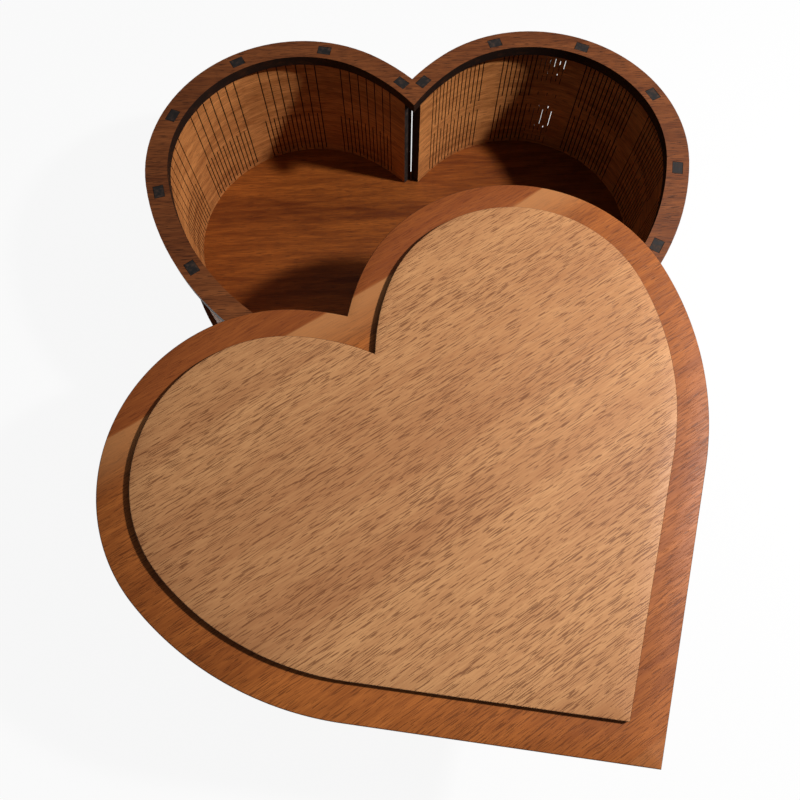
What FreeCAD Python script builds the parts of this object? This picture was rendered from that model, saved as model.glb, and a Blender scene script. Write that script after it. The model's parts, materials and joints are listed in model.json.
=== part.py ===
import FreeCAD, Part
import math
import os
from collections import namedtuple

import Sketcher

# Heart-shaped music box: a tabbed ply case, a loose lid and a wind-up movement.
# All sizes are millimetres and degrees. The row frame has its origin on the underside
# of the base plate, midway between the two lobe centres, with Z up and the tip at -Y.

SIZES = [
    # heart outline, shared by every plate
    ("lobe_offset", 35.0),
    ("lobe_radius", 43.0),
    ("cleft_radius", 66.0),
    ("side_radius", 80.0),
    ("cleft_join", 125.7),
    ("side_join", 10.4),
    ("tip_half_angle", 49.5),
    # case plates and walls
    ("base_thickness", 3.0),
    ("rim_thickness", 3.0),
    ("rim_width", 6.3),
    ("wall_thickness", 3.0),
    ("wall_height", 40.0),
    ("wall_inset", 1.75),
    ("wall_gap", 0.3),
    ("tab_length", 3.9),
    ("tab_end", 3.0),
    ("tab_count", 9),
    ("tab_clearance", 0.1),
    ("trim_reach", 24.0),
    # lid
    ("lid_thickness", 3.0),
    ("plug_thickness", 1.5),
    ("plug_margin", 8.2),
    ("lid_turn", 30.0),
    ("lid_shift_right", -8.4),
    ("lid_shift_back", -75.8),
    # where the movement stands on the right wall
    ("arbor_reach", 48.0),
    ("arbor_rise", 15.5),
    # shared movement clearances
    ("running_clearance", 0.05),
    ("side_clearance", 0.8),
    ("press_clearance", 0.02),
    # bedplate and bearing plates
    ("bed_thickness", 2.0),
    ("bed_drop", 10.0),
    ("bed_lift", 19.0),
    ("bed_margin", 1.0),
    ("plate_thickness", 1.2),
    ("plate_lift", 18.0),
    ("near_plate_half", 4.0),
    ("far_plate_drop", 4.0),
    ("governor_plate_start", 3.5),
    ("governor_plate_lift", 15.0),
    # winding side
    ("arbor_radius", 1.5),
    ("arbor_hole_radius", 3.5),
    ("collar_radius", 2.6),
    ("collar_height", 0.3),
    ("collar_gap", 0.1),
    ("bore_relief", 0.3),
    ("key_gap", 1.2),
    ("key_boss_radius", 3.0),
    ("key_boss_length", 7.0),
    ("key_floor", 1.2),
    ("wing_radius", 5.0),
    ("wing_hole_radius", 2.2),
    ("wing_offset", 6.0),
    ("wing_thickness", 1.6),
    ("wing_drop", 7.5),
    # spring barrel
    ("barrel_radius", 8.0),
    ("barrel_wall", 0.8),
    ("barrel_height", 7.5),
    ("barrel_lift", 0.5),
    ("crown_disc", 1.0),
    ("crown_tooth", 1.1),
    ("crown_face", 1.2),
    ("crown_teeth", 26),
    ("crown_module", 0.55),
    ("spring_turns", 6),
    ("spring_strip", 0.35),
    ("spring_start", 2.0),
    ("spring_clearance", 0.4),
    # cylinder
    ("cylinder_radius", 5.0),
    ("cylinder_wall", 0.8),
    ("cylinder_length", 16.0),
    ("cylinder_arbor_radius", 1.0),
    ("pin_height", 0.5),
    ("pin_radius", 0.2),
    ("pins_per_track", 5),
    ("pinion_teeth", 12),
    ("pinion_width", 1.0),
    ("wheel_teeth", 28),
    ("wheel_module", 0.5),
    ("wheel_width", 1.2),
    # comb
    ("comb_teeth", 18),
    ("comb_thickness", 0.9),
    ("comb_gap", 0.25),
    ("comb_slot", 0.3),
    ("tooth_length", 7.0),
    ("comb_back", 5.2),
    ("comb_screw_radius", 1.0),
    ("comb_screw_inset", 3.0),
    ("comb_screw_grip", 3.5),
    ("comb_hole_depth", 4.0),
    ("comb_head_radius", 1.8),
    ("comb_head_height", 1.2),
    # governor train
    ("idler_pinion_teeth", 10),
    ("idler_wheel_teeth", 28),
    ("governor_module", 0.4),
    ("fan_pinion_teeth", 8),
    ("idler_direction", 40.0),
    ("fan_direction", 20.0),
    ("idler_radius", 0.8),
    ("idler_overhang", 0.3),
    ("fan_arbor_radius", 0.6),
    ("governor_width", 1.0),
    ("fan_length", 4.8),
    ("fan_radius", 4.5),
    ("fan_blade", 0.5),
    ("fan_hub_radius", 1.3),
    # screws that hold the movement to the wall
    ("wall_screw_radius", 1.15),
    ("wall_screw_head", 2.2),
    ("wall_screw_head_height", 1.4),
    ("wall_hole_radius", 1.35),
    ("screw_inset", 3.0),
    ("screw_drop", 3.5),
    ("screw_end", 4.0),
    ("screw_slot", 0.5),
    ("screw_slot_depth", 0.6),
]

# Tooth proportions, as shares of the module or of the circular pitch.
ADDENDUM = 0.9
DEDENDUM = 1.2
TOOTH_SHARE = 0.31
TIP_SHARE = 0.2
FLANK_SPREAD = 1.25
HEEL_DEPTH = 0.3

# How the tune pins are spread round the sleeve, as shares of the step between two pins.
TRACK_SHIFT = 0.37
PIN_SCATTER = 0.21
SCATTER_STEPS = 4

V = FreeCAD.Vector
ALONG_U = FreeCAD.Rotation(V(0, 1, 0), V(0, 0, 1), V(1, 0, 0), "XYZ")
ALONG_V = FreeCAD.Rotation(V(1, 0, 0), V(0, 0, -1), V(0, 1, 0), "XYZ")
UPRIGHT = FreeCAD.Rotation()

doc = FreeCAD.newDocument("music_box")
sheet = doc.addObject("Spreadsheet::Sheet", "dims")
for row, (alias, number) in enumerate(SIZES, 1):
    sheet.set(f"A{row}", alias)
    sheet.set(f"B{row}", str(number))
    sheet.setAlias(f"B{row}", alias)
doc.recompute()


def size(text):
    """Number an expression over the sheet's aliases stands for."""
    result = sheet.evalExpression(text)
    return float(getattr(result, "Value", result))


def put(obj, x="0", y="0", z="0", turn=UPRIGHT):
    """Set an object's rotation and bind its position to expressions."""
    obj.Placement = FreeCAD.Placement(V(0, 0, 0), turn)
    for axis, text in zip("xyz", (x, y, z)):
        obj.setExpression(f"Placement.Base.{axis}", text)
    return obj


def box(name, length, width, height, *place):
    """Part box with its three sides bound to expressions."""
    obj = doc.addObject("Part::Box", name)
    for prop, text in (("Length", length), ("Width", width), ("Height", height)):
        obj.setExpression(prop, text)
    return put(obj, *place)


def rod(name, radius, height, *place):
    """Part cylinder with radius and height bound to expressions."""
    obj = doc.addObject("Part::Cylinder", name)
    obj.setExpression("Radius", radius)
    obj.setExpression("Height", height)
    return put(obj, *place)


def fuse(name, shapes):
    """Union of several objects."""
    obj = doc.addObject("Part::MultiFuse", name)
    obj.Shapes = shapes
    obj.Refine = True
    return obj


def group(name, shapes):
    """Separate solids kept together in one object."""
    obj = doc.addObject("Part::Compound", name)
    obj.Links = shapes
    return obj


def cut(name, base, tool):
    """One object minus another."""
    obj = doc.addObject("Part::Cut", name)
    obj.Base = base
    obj.Tool = tool
    return obj


def origin_feature(body, role):
    """Plane or axis of a body's own origin."""
    return next(f for f in body.Origin.OriginFeatures if f.Role == role)


def flat_sketch(body, name):
    """New sketch on the body's XY plane."""
    sketch = body.newObject("Sketcher::SketchObject", name)
    sketch.AttachmentSupport = (origin_feature(body, "XY_Plane"), [""])
    sketch.MapMode = "FlatFace"
    return sketch


def bind(sketch, text, kind, *where):
    """Add a dimension to a sketch and bind it to an expression."""
    number = size(text)
    if kind == "Angle":
        number = math.radians(number)
    index = sketch.addConstraint(Sketcher.Constraint(kind, *where, number))
    sketch.setExpression(f"Constraints[{index}]", text)


def circle(sketch, radius):
    """Circle about the sketch origin."""
    ring = sketch.addGeometry(Part.Circle(V(0, 0, 0), V(0, 0, 1), size(radius)))
    sketch.addConstraint(Sketcher.Constraint("Coincident", ring, 3, -1, 1))
    bind(sketch, radius, "Radius", ring)


def outline(sketch, corners):
    """Closed outline of straight lines through corners given as expressions."""
    points = [V(size(x), size(y), 0) for x, y in corners]
    following = points[1:] + points[:1]
    lines = [sketch.addGeometry(Part.LineSegment(a, b)) for a, b in zip(points, following)]
    for line, after, (x, y) in zip(lines, lines[1:] + lines[:1], corners):
        sketch.addConstraint(Sketcher.Constraint("Coincident", line, 2, after, 1))
        bind(sketch, x, "DistanceX", -1, 1, line, 1)
        bind(sketch, y, "DistanceY", -1, 1, line, 1)


def pad(body, sketch, length):
    """Pad a sketch upward by a bound length."""
    feature = body.newObject("PartDesign::Pad", f"{sketch.Name}_pad")
    feature.Profile = sketch
    feature.setExpression("Length", length)
    return feature


def pocket(body, sketch, length):
    """Pocket a sketch upward from its plane by a bound length."""
    feature = body.newObject("PartDesign::Pocket", f"{sketch.Name}_pocket")
    feature.Profile = sketch
    feature.Reversed = True
    feature.setExpression("Length", length)
    return feature


# Heart outline: three tangent arcs and a straight on each side of the middle plane.

Heart = namedtuple("Heart", "lobe cleft side lobe_r cleft_r side_r apex bend tip")


def heart(inset):
    """Centres, radii and corner points of the right half at an inset from the edge."""
    lobe_r, cleft_r, side_r = size("dims.lobe_radius"), size("dims.cleft_radius"), size("dims.side_radius")
    up, down = math.radians(size("dims.cleft_join")), -math.radians(size("dims.side_join"))
    slope = math.radians(size("dims.tip_half_angle"))
    lobe = V(size("dims.lobe_offset"), 0, 0)
    cleft = lobe + V(math.cos(up), math.sin(up), 0) * (lobe_r - cleft_r)
    side = lobe + V(math.cos(down), math.sin(down), 0) * (lobe_r - side_r)
    apex = V(0, cleft.y + math.sqrt((cleft_r - inset) ** 2 - cleft.x ** 2), 0)
    bend = side + V(math.cos(slope), -math.sin(slope), 0) * (side_r - inset)
    tip = V(0, bend.y - bend.x / math.tan(slope), 0)
    return Heart(lobe, cleft, side, lobe_r - inset, cleft_r - inset, side_r - inset, apex, bend, tip)


def arc(centre, radius, start, end):
    """Counter-clockwise arc between two angles in radians."""
    return Part.ArcOfCircle(Part.Circle(centre, V(0, 0, 1), radius), start, end)


def half_heart(body, name, inset):
    """Sketch of the right half heart, every dimension bound to the sheet."""
    sketch = flat_sketch(body, name)
    shape = heart(size(inset))
    up, down = math.radians(size("dims.cleft_join")), -math.radians(size("dims.side_join"))
    slope = -math.radians(size("dims.tip_half_angle"))
    top = math.atan2(shape.apex.y - shape.cleft.y, shape.apex.x - shape.cleft.x)
    cleft = sketch.addGeometry(arc(shape.cleft, shape.cleft_r, up, top))
    lobe = sketch.addGeometry(arc(shape.lobe, shape.lobe_r, down, up))
    side = sketch.addGeometry(arc(shape.side, shape.side_r, slope, down))
    straight = sketch.addGeometry(Part.LineSegment(shape.tip, shape.bend))
    middle = sketch.addGeometry(Part.LineSegment(shape.apex, shape.tip))
    for joint in (
        ("Tangent", cleft, 1, lobe, 2),
        ("Tangent", lobe, 1, side, 2),
        ("Tangent", side, 1, straight, 2),
        ("Coincident", cleft, 2, middle, 1),
        ("Coincident", middle, 2, straight, 1),
        ("PointOnObject", cleft, 2, -2),
        ("PointOnObject", straight, 1, -2),
        ("PointOnObject", lobe, 3, -1),
    ):
        sketch.addConstraint(Sketcher.Constraint(*joint))
    reach = f"(dims.lobe_radius - ({inset}))"
    bind(sketch, "dims.lobe_offset", "DistanceX", -1, 1, lobe, 3)
    bind(sketch, f"dims.cleft_radius - ({inset})", "Radius", cleft)
    bind(sketch, reach, "Radius", lobe)
    bind(sketch, f"dims.side_radius - ({inset})", "Radius", side)
    bind(sketch, f"-{reach} * cos(dims.cleft_join)", "DistanceX", lobe, 2, lobe, 3)
    bind(sketch, f"{reach} * sin(dims.side_join)", "DistanceY", lobe, 1, lobe, 3)
    bind(sketch, "90 - dims.tip_half_angle", "Angle", straight)
    return sketch


def heart_plate(name, inset, thickness, opening=None):
    """Whole heart plate, with a heart opening when an inset for one is given."""
    body = doc.addObject("PartDesign::Body", name)
    halves = [pad(body, half_heart(body, f"{name}_edge", inset), thickness)]
    if opening:
        halves.append(pocket(body, half_heart(body, f"{name}_opening", opening), thickness))
    whole = body.newObject("PartDesign::Mirrored", f"{name}_whole")
    whole.Originals = halves
    whole.MirrorPlane = (origin_feature(body, "YZ_Plane"), [""])
    body.Tip = whole
    return body


# Wall path: places along the middle of the wall, from its cleft end to its tip end.

MID_INSET = "dims.wall_inset + dims.wall_thickness / 2"
OUTER_INSET = "dims.wall_inset"
INNER_INSET = "dims.wall_inset + dims.wall_thickness"


def wall_ends():
    """Angle of the cleft end about the cleft centre, and the tip end's straight length."""
    half_gap = size("dims.wall_gap / 2")
    outer, inner = heart(size(OUTER_INSET)), heart(size(INNER_INSET))
    cleft_end = math.acos((half_gap - outer.cleft.x) / outer.cleft_r)
    slope = math.radians(size("dims.tip_half_angle"))
    return cleft_end, (inner.bend.x - half_gap) / math.sin(slope)


def wall_arcs():
    """Arcs of the wall's middle line: centre, radius, first and last angle."""
    mid = heart(size(MID_INSET))
    up, down = math.radians(size("dims.cleft_join")), -math.radians(size("dims.side_join"))
    slope = -math.radians(size("dims.tip_half_angle"))
    return [
        (mid.cleft, mid.cleft_r, wall_ends()[0], up),
        (mid.lobe, mid.lobe_r, up, down),
        (mid.side, mid.side_r, down, slope),
    ]


def wall_length():
    """Whole length of the wall's middle line."""
    return sum(radius * (start - end) for _, radius, start, end in wall_arcs()) + wall_ends()[1]


def wall_point(distance):
    """Point and heading at a distance along the wall's middle line."""
    for centre, radius, start, end in wall_arcs():
        length = radius * (start - end)
        if distance <= length:
            angle = start - distance / radius
            return centre + V(math.cos(angle), math.sin(angle), 0) * radius, angle - math.pi / 2
        distance -= length
    heading = end - math.pi / 2
    return heart(size(MID_INSET)).bend + V(math.cos(heading), math.sin(heading), 0) * distance, heading


def tab_places():
    """Centre and heading of every tab on the right wall."""
    first, count = size("dims.tab_end"), int(size("dims.tab_count"))
    pitch = (wall_length() - 2 * first) / (count - 1)
    return [wall_point(first + k * pitch) for k in range(count)]


def turned_box(name, length, width, height, centre, heading, z):
    """Box standing on height z, centred on a point in plan and turned to a heading."""
    obj = box(name, length, width, height)
    turn = FreeCAD.Rotation(V(0, 0, 1), math.degrees(heading))
    corner = centre - turn.multVec(V(size(length) / 2, size(width) / 2, 0))
    obj.Placement = FreeCAD.Placement(corner, turn)
    for axis, text in zip("xyz", (str(corner.x), str(corner.y), z)):
        obj.setExpression(f"Placement.Base.{axis}", text)
    return obj


def mirrored_place(place):
    """The same place on the left wall."""
    point, heading = place
    return V(-point.x, point.y, 0), math.pi - heading


def mortised(name, blank, z_from, thickness):
    """Plate with a mortise for every tab of both walls."""
    places = tab_places()
    both = places + [mirrored_place(p) for p in places]
    length = "dims.tab_length + 2 * dims.tab_clearance"
    cutters = [
        turned_box(f"{name}_mortise_{k}", length, "dims.wall_thickness", thickness, point, heading, z_from)
        for k, (point, heading) in enumerate(both)
    ]
    return cut(name, blank, group(f"{name}_mortises", cutters))


def wall_blank():
    """Right wall strip with square ends and its finger tabs."""
    body = doc.addObject("PartDesign::Body", "wall_strip")
    pad(body, half_heart(body, "wall_outside", OUTER_INSET), "dims.wall_height")
    pocket(body, half_heart(body, "wall_inside", INNER_INSET), "dims.wall_height")
    put(body, "0", "0", "dims.base_thickness")
    cleft_end, run = wall_ends()
    mid = heart(size(MID_INSET))
    slope = math.radians(size("dims.tip_half_angle"))
    heading = -slope - math.pi / 2
    ahead = V(math.cos(heading), math.sin(heading), 0)
    reach = "dims.trim_reach"
    back = V(-math.sin(cleft_end), math.cos(cleft_end), 0)
    radial = V(math.cos(cleft_end), math.sin(cleft_end), 0)
    cleft_point = mid.cleft + radial * mid.cleft_r + back * size(reach) / 2
    tip_point = mid.bend + ahead * (run + size(reach) / 2)
    trims = [
        turned_box("cleft_trim", reach, reach, "dims.wall_height", cleft_point, cleft_end - math.pi / 2,
                   "dims.base_thickness"),
        turned_box("tip_trim", reach, reach, "dims.wall_height", tip_point, heading, "dims.base_thickness"),
    ]
    strip = cut("wall_trimmed", body, group("wall_trims", trims))
    grip = "dims.wall_thickness - 2 * dims.tab_clearance"
    tabs = []
    for k, (point, turn) in enumerate(tab_places()):
        tabs.append(turned_box(f"low_tab_{k}", "dims.tab_length", grip, "dims.base_thickness", point, turn, "0"))
        tabs.append(turned_box(f"high_tab_{k}", "dims.tab_length", grip, "dims.rim_thickness", point, turn,
                               "dims.base_thickness + dims.wall_height"))
    return fuse("wall_blank", [strip] + tabs)


# Movement frame: u runs along the right wall towards the tip, v is up, n points into the box.

def movement_frame():
    """Placement of the winding axis on the wall's inner face."""
    slope = math.radians(size("dims.tip_half_angle"))
    along = V(-math.sin(slope), -math.cos(slope), 0)
    inward = V(-math.cos(slope), math.sin(slope), 0)
    corner = heart(size(INNER_INSET)).tip
    point = corner - along * size("dims.arbor_reach")
    point.z = size("dims.base_thickness + dims.arbor_rise")
    return FreeCAD.Placement(point, FreeCAD.Rotation(along, V(0, 0, 1), inward, "XYZ"))


# Stations along u and n, each the sum of the named sizes before it.
CROWN_PITCH = "(dims.crown_module * dims.crown_teeth / 2)"
PINION_PITCH = "(dims.crown_module * dims.pinion_teeth / 2)"
BARREL_FLOOR = "(dims.bed_thickness + dims.barrel_lift)"
CROWN_FLOOR = f"({BARREL_FLOOR} + dims.barrel_height)"
CROWN_ROOT = f"({CROWN_FLOOR} + dims.crown_disc)"
AXIS_N = f"({CROWN_ROOT} + dims.crown_tooth / 2 + {PINION_PITCH})"
NEAR_U = "(dims.barrel_radius + dims.side_clearance)"
CYLINDER_U = f"({NEAR_U} + dims.plate_thickness + dims.side_clearance)"
WHEEL_U = f"({CYLINDER_U} + dims.cylinder_length + dims.side_clearance)"
FAR_U = f"({WHEEL_U} + dims.wheel_width + dims.side_clearance)"
IDLER_WHEEL_U = f"({FAR_U} + dims.plate_thickness + dims.side_clearance)"
FAN_U = f"({IDLER_WHEEL_U} + dims.governor_width + dims.side_clearance)"
GOVERNOR_U = f"({FAN_U} + dims.fan_length + dims.side_clearance)"
BED_END = f"({GOVERNOR_U} + dims.plate_thickness + dims.bed_margin)"
BED_START = "(dims.barrel_radius + dims.bed_margin)"
IDLER_STEP = "(dims.wheel_module * (dims.wheel_teeth + dims.idler_pinion_teeth) / 2)"
IDLER_V = f"({IDLER_STEP} * cos(dims.idler_direction))"
IDLER_N = f"({AXIS_N} - {IDLER_STEP} * sin(dims.idler_direction))"
FAN_STEP = "(dims.governor_module * (dims.idler_wheel_teeth + dims.fan_pinion_teeth) / 2)"
FAN_V = f"({IDLER_V} + {FAN_STEP} * cos(dims.fan_direction))"
FAN_N = f"({IDLER_N} + {FAN_STEP} * sin(dims.fan_direction))"
COMB_TIP = "(dims.cylinder_radius + dims.pin_height + dims.comb_gap)"
COMB_ROOT = f"({COMB_TIP} + dims.tooth_length)"
COMB_UNDER = f"({AXIS_N} - dims.comb_thickness / 2)"
SCREW_SPOTS = [
    (f"-{BED_START} + dims.screw_inset", "dims.bed_lift - dims.screw_drop"),
    (f"{CYLINDER_U} + dims.cylinder_length / 4", "dims.screw_inset - dims.bed_drop"),
    (f"{BED_END} - dims.screw_end", "dims.screw_inset - dims.bed_drop"),
]
COMB_SCREWS = [
    (f"({CYLINDER_U} + dims.comb_screw_inset)", f"({COMB_ROOT} + dims.comb_back / 2)"),
    (f"({CYLINDER_U} + dims.cylinder_length - dims.comb_screw_inset)", f"({COMB_ROOT} + dims.comb_back / 2)"),
]


def spur_gear(name, teeth, module, width, bore):
    """Spur gear about Z with a tooth centred on +X."""
    body = doc.addObject("PartDesign::Body", name)
    root = f"({module} * ({teeth} / 2 - {DEDENDUM}))"
    tip = f"({module} * ({teeth} / 2 + {ADDENDUM}))"
    disc = flat_sketch(body, f"{name}_disc")
    circle(disc, root)
    circle(disc, bore)
    pad(body, disc, width)
    tooth = flat_sketch(body, f"{name}_tooth")
    flank = f"({module} * {math.pi} * {TOOTH_SHARE} / 2 * {FLANK_SPREAD})"
    crest = f"({module} * {math.pi} * {TIP_SHARE} / 2)"
    heel = f"({root} - {module} * {HEEL_DEPTH})"
    outline(tooth, [(heel, f"-{flank}"), (tip, f"-{crest}"), (tip, crest), (heel, flank)])
    return patterned(body, pad(body, tooth, width), teeth)


def patterned(body, tooth, count):
    """Repeat a tooth round the body's Z axis."""
    pattern = body.newObject("PartDesign::PolarPattern", f"{tooth.Name}_ring")
    pattern.Originals = [tooth]
    pattern.Axis = (origin_feature(body, "Z_Axis"), [""])
    pattern.Angle = 360
    pattern.setExpression("Occurrences", count)
    body.Tip = pattern
    return body


def crown_gear():
    """Barrel cover with upright teeth round its rim."""
    body = doc.addObject("PartDesign::Body", "barrel_crown_body")
    disc = flat_sketch(body, "crown_disc_edge")
    circle(disc, "dims.barrel_radius")
    circle(disc, "dims.arbor_radius + dims.running_clearance")
    pad(body, disc, "dims.crown_disc")
    tooth = flat_sketch(body, "crown_tooth_edge")
    inside = f"({CROWN_PITCH} - dims.crown_face / 2)"
    outside = f"({CROWN_PITCH} + dims.crown_face / 2)"
    half = f"(dims.crown_module * {math.pi} * {TOOTH_SHARE} / 2)"
    outline(tooth, [(inside, f"-{half}"), (outside, f"-{half}"), (outside, half), (inside, half)])
    return patterned(body, pad(body, tooth, "dims.crown_disc + dims.crown_tooth"), "dims.crown_teeth")


def spin(obj, rotation, angle, u, v, n):
    """Place a gear body: its axis along a rotation, turned to a phase angle in degrees."""
    turn = FreeCAD.Rotation(V(0, 0, 1), angle)
    local = FreeCAD.Placement(V(size(u), size(v), size(n)), rotation.multiply(turn))
    obj.Placement = local
    return obj


def tube(name, outer, inner, height, *place):
    """Plain tube about its own axis."""
    return cut(name, rod(f"{name}_outside", outer, height, *place), rod(f"{name}_inside", inner, height, *place))


def bearing_plate(name, u, v_from, v_to, top, holes):
    """Upright plate on the bedplate, bored for its arbors."""
    plate = box(f"{name}_blank", "dims.plate_thickness", f"{v_to} - ({v_from})", f"{top} - dims.bed_thickness",
                u, v_from, "dims.bed_thickness")
    bores = [
        rod(f"{name}_bore_{k}", f"{radius} + dims.running_clearance", "dims.plate_thickness", u, v, n, ALONG_U)
        for k, (radius, v, n) in enumerate(holes)
    ]
    return cut(name, plate, group(f"{name}_bores", bores))


def screw(name, shank_radius, shank, head_radius, head, place, heads_up):
    """Slotted screw about n; the head points inward when heads_up, else outward."""
    u, v, seat = place
    if heads_up:
        shank_from, head_from = f"{seat} - ({shank})", seat
        slot_from = f"{seat} + {head} - dims.screw_slot_depth"
    else:
        shank_from, head_from, slot_from = seat, f"{seat} - {head}", f"{seat} - {head}"
    solid = fuse(f"{name}_solid", [
        rod(f"{name}_shank", shank_radius, shank, u, v, shank_from),
        rod(f"{name}_head", head_radius, head, u, v, head_from),
    ])
    slot = box(f"{name}_slot", f"2 * {head_radius}", "dims.screw_slot", "dims.screw_slot_depth",
               f"{u} - {head_radius}", f"{v} - dims.screw_slot / 2", slot_from)
    return cut(name, solid, slot)


def bedplate():
    """Bedplate with the arbor bearing, the wall screw holes and nothing else."""
    plate = box("bed_blank", f"{BED_END} + {BED_START}", "dims.bed_drop + dims.bed_lift", "dims.bed_thickness",
                f"-{BED_START}", "-dims.bed_drop", "0")
    holes = [rod("bed_arbor_bore", "dims.arbor_radius + dims.running_clearance", "dims.bed_thickness")]
    for k, (u, v) in enumerate(SCREW_SPOTS):
        holes.append(rod(f"bed_screw_bore_{k}", "dims.wall_screw_radius + dims.running_clearance",
                         "dims.bed_thickness", u, v))
    return cut("bedplate", plate, group("bed_holes", holes))


def winding_arbor():
    """Arbor from inside the key, through wall, bedplate and barrel, with two collars."""
    top = f"({CROWN_ROOT} + dims.collar_gap)"
    tail = "(dims.wall_thickness + dims.key_gap + dims.key_boss_length - dims.key_floor - dims.bore_relief)"
    shaft = rod("arbor_shaft", "dims.arbor_radius", f"{top} + {tail}", "0", "0", f"-{tail}")
    low = rod("arbor_low_collar", "dims.collar_radius", "dims.collar_height", "0", "0",
              "dims.bed_thickness + dims.collar_gap")
    high = rod("arbor_high_collar", "dims.collar_radius", "dims.collar_height", "0", "0", top)
    return fuse("winding_arbor", [shaft, low, high])


def winding_key():
    """Two-winged key with a blind bore for the arbor."""
    face = "-(dims.wall_thickness + dims.key_gap)"
    end = f"({face} - dims.key_boss_length)"
    boss = rod("key_boss", "dims.key_boss_radius", "dims.key_boss_length", "0", "0", end)
    wings, holes = [], []
    for side, sign in (("left", "-"), ("right", "")):
        spot = (f"{sign}dims.wing_offset", "-dims.wing_thickness / 2", f"{face} - dims.wing_drop", ALONG_V)
        wings.append(rod(f"key_{side}_wing", "dims.wing_radius", "dims.wing_thickness", *spot))
        holes.append(rod(f"key_{side}_hole", "dims.wing_hole_radius", "dims.wing_thickness", *spot))
    holes.append(rod("key_bore", "dims.arbor_radius + dims.press_clearance", "dims.key_boss_length - dims.key_floor",
                     "0", "0", f"{end} + dims.key_floor"))
    return cut("winding_key", fuse("key_solid", [boss] + wings), group("key_holes", holes))


def spring_barrel():
    """Open drum: a floor bored for the arbor and a thin wall."""
    inside = "dims.barrel_radius - dims.barrel_wall"
    drum = rod("barrel_drum", "dims.barrel_radius", "dims.barrel_height", "0", "0", BARREL_FLOOR)
    room = rod("barrel_room", inside, "dims.barrel_height - dims.barrel_wall",
               "0", "0", f"{BARREL_FLOOR} + dims.barrel_wall")
    bore = rod("barrel_bore", "dims.arbor_radius + dims.running_clearance", "dims.barrel_wall",
               "0", "0", BARREL_FLOOR)
    return cut("spring_barrel", drum, group("barrel_hollows", [room, bore]))


def mainspring():
    """Flat spring wound in half turns about two centres, from the arbor out to the drum."""
    strip, start = size("dims.spring_strip"), size("dims.spring_start")
    halves = 2 * int(size("dims.spring_turns"))
    room = size("dims.barrel_radius - dims.barrel_wall - dims.press_clearance") - strip / 2
    grow = (room - start) / (halves - 0.5)
    edges_out, edges_in = [], []
    for k in range(halves):
        centre = V(grow / 2 if k % 2 else -grow / 2, 0, 0)
        first = math.pi * (k % 2)
        radius = start + k * grow
        edges_out.append(arc(centre, radius + strip / 2, first, first + math.pi).toShape())
        edges_in.append(arc(centre, radius - strip / 2, first, first + math.pi).toShape())
    caps = [
        Part.makeLine(edges_out[0].valueAt(edges_out[0].FirstParameter),
                      edges_in[0].valueAt(edges_in[0].FirstParameter)),
        Part.makeLine(edges_out[-1].valueAt(edges_out[-1].LastParameter),
                      edges_in[-1].valueAt(edges_in[-1].LastParameter)),
    ]
    wire = Part.Wire(Part.__sortEdges__(edges_out + edges_in + caps))
    inside = size("dims.barrel_height - dims.barrel_wall - 2 * dims.spring_clearance")
    obj = doc.addObject("Part::Feature", "mainspring")
    obj.Shape = Part.Face(wire).extrude(V(0, 0, inside))
    floor = size(f"{BARREL_FLOOR} + dims.barrel_wall + dims.spring_clearance")
    obj.Placement = FreeCAD.Placement(V(0, 0, floor), UPRIGHT)
    return obj


def cylinder_sleeve():
    """Hollow cylinder closed by a disc at each end, bored for its arbor."""
    outside = rod("sleeve_outside", "dims.cylinder_radius", "dims.cylinder_length", CYLINDER_U, "0", AXIS_N, ALONG_U)
    room = rod("sleeve_room", "dims.cylinder_radius - dims.cylinder_wall",
               "dims.cylinder_length - 2 * dims.cylinder_wall",
               f"{CYLINDER_U} + dims.cylinder_wall", "0", AXIS_N, ALONG_U)
    bore = rod("sleeve_bore", "dims.cylinder_arbor_radius + dims.press_clearance", "dims.cylinder_length",
               CYLINDER_U, "0", AXIS_N, ALONG_U)
    return cut("cylinder_sleeve", outside, fuse("sleeve_hollow", [room, bore]))


def tune_pins():
    """Pins standing on the sleeve, one track for each comb tooth."""
    tracks, per_track = int(size("dims.comb_teeth")), int(size("dims.pins_per_track"))
    pitch = size("dims.cylinder_length / dims.comb_teeth")
    start, axis_n = size(CYLINDER_U), size(AXIS_N)
    radius, height, foot = size("dims.pin_radius"), size("dims.pin_height"), size("dims.cylinder_radius")
    pins = []
    for track in range(tracks):
        for k in range(per_track):
            angle = 2 * math.pi * (k + TRACK_SHIFT * track + PIN_SCATTER * (track * k % SCATTER_STEPS)) / per_track
            out = V(0, math.cos(angle), math.sin(angle))
            base = V(start + (track + 0.5) * pitch, 0, axis_n) + out * foot
            pins.append(Part.makeCylinder(radius, height, base, out))
    obj = doc.addObject("Part::Feature", "tune_pins")
    obj.Shape = Part.makeCompound(pins)
    return obj


def comb():
    """Flat steel comb: a back bored for its screws and one tooth for each track."""
    blank = box("comb_blank", "dims.cylinder_length", "dims.tooth_length + dims.comb_back", "dims.comb_thickness",
                CYLINDER_U, COMB_TIP, COMB_UNDER)
    pitch = "dims.cylinder_length / dims.comb_teeth"
    gaps = [
        box(f"comb_slot_{k}", "dims.comb_slot", "dims.tooth_length", "dims.comb_thickness",
            f"{CYLINDER_U} + {k} * {pitch} - dims.comb_slot / 2", COMB_TIP, COMB_UNDER)
        for k in range(1, int(size("dims.comb_teeth")))
    ]
    holes = [
        rod(f"comb_hole_{k}", "dims.comb_screw_radius + dims.running_clearance", "dims.comb_thickness", u, v, COMB_UNDER)
        for k, (u, v) in enumerate(COMB_SCREWS)
    ]
    return cut("comb", blank, group("comb_gaps", gaps + holes))


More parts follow.
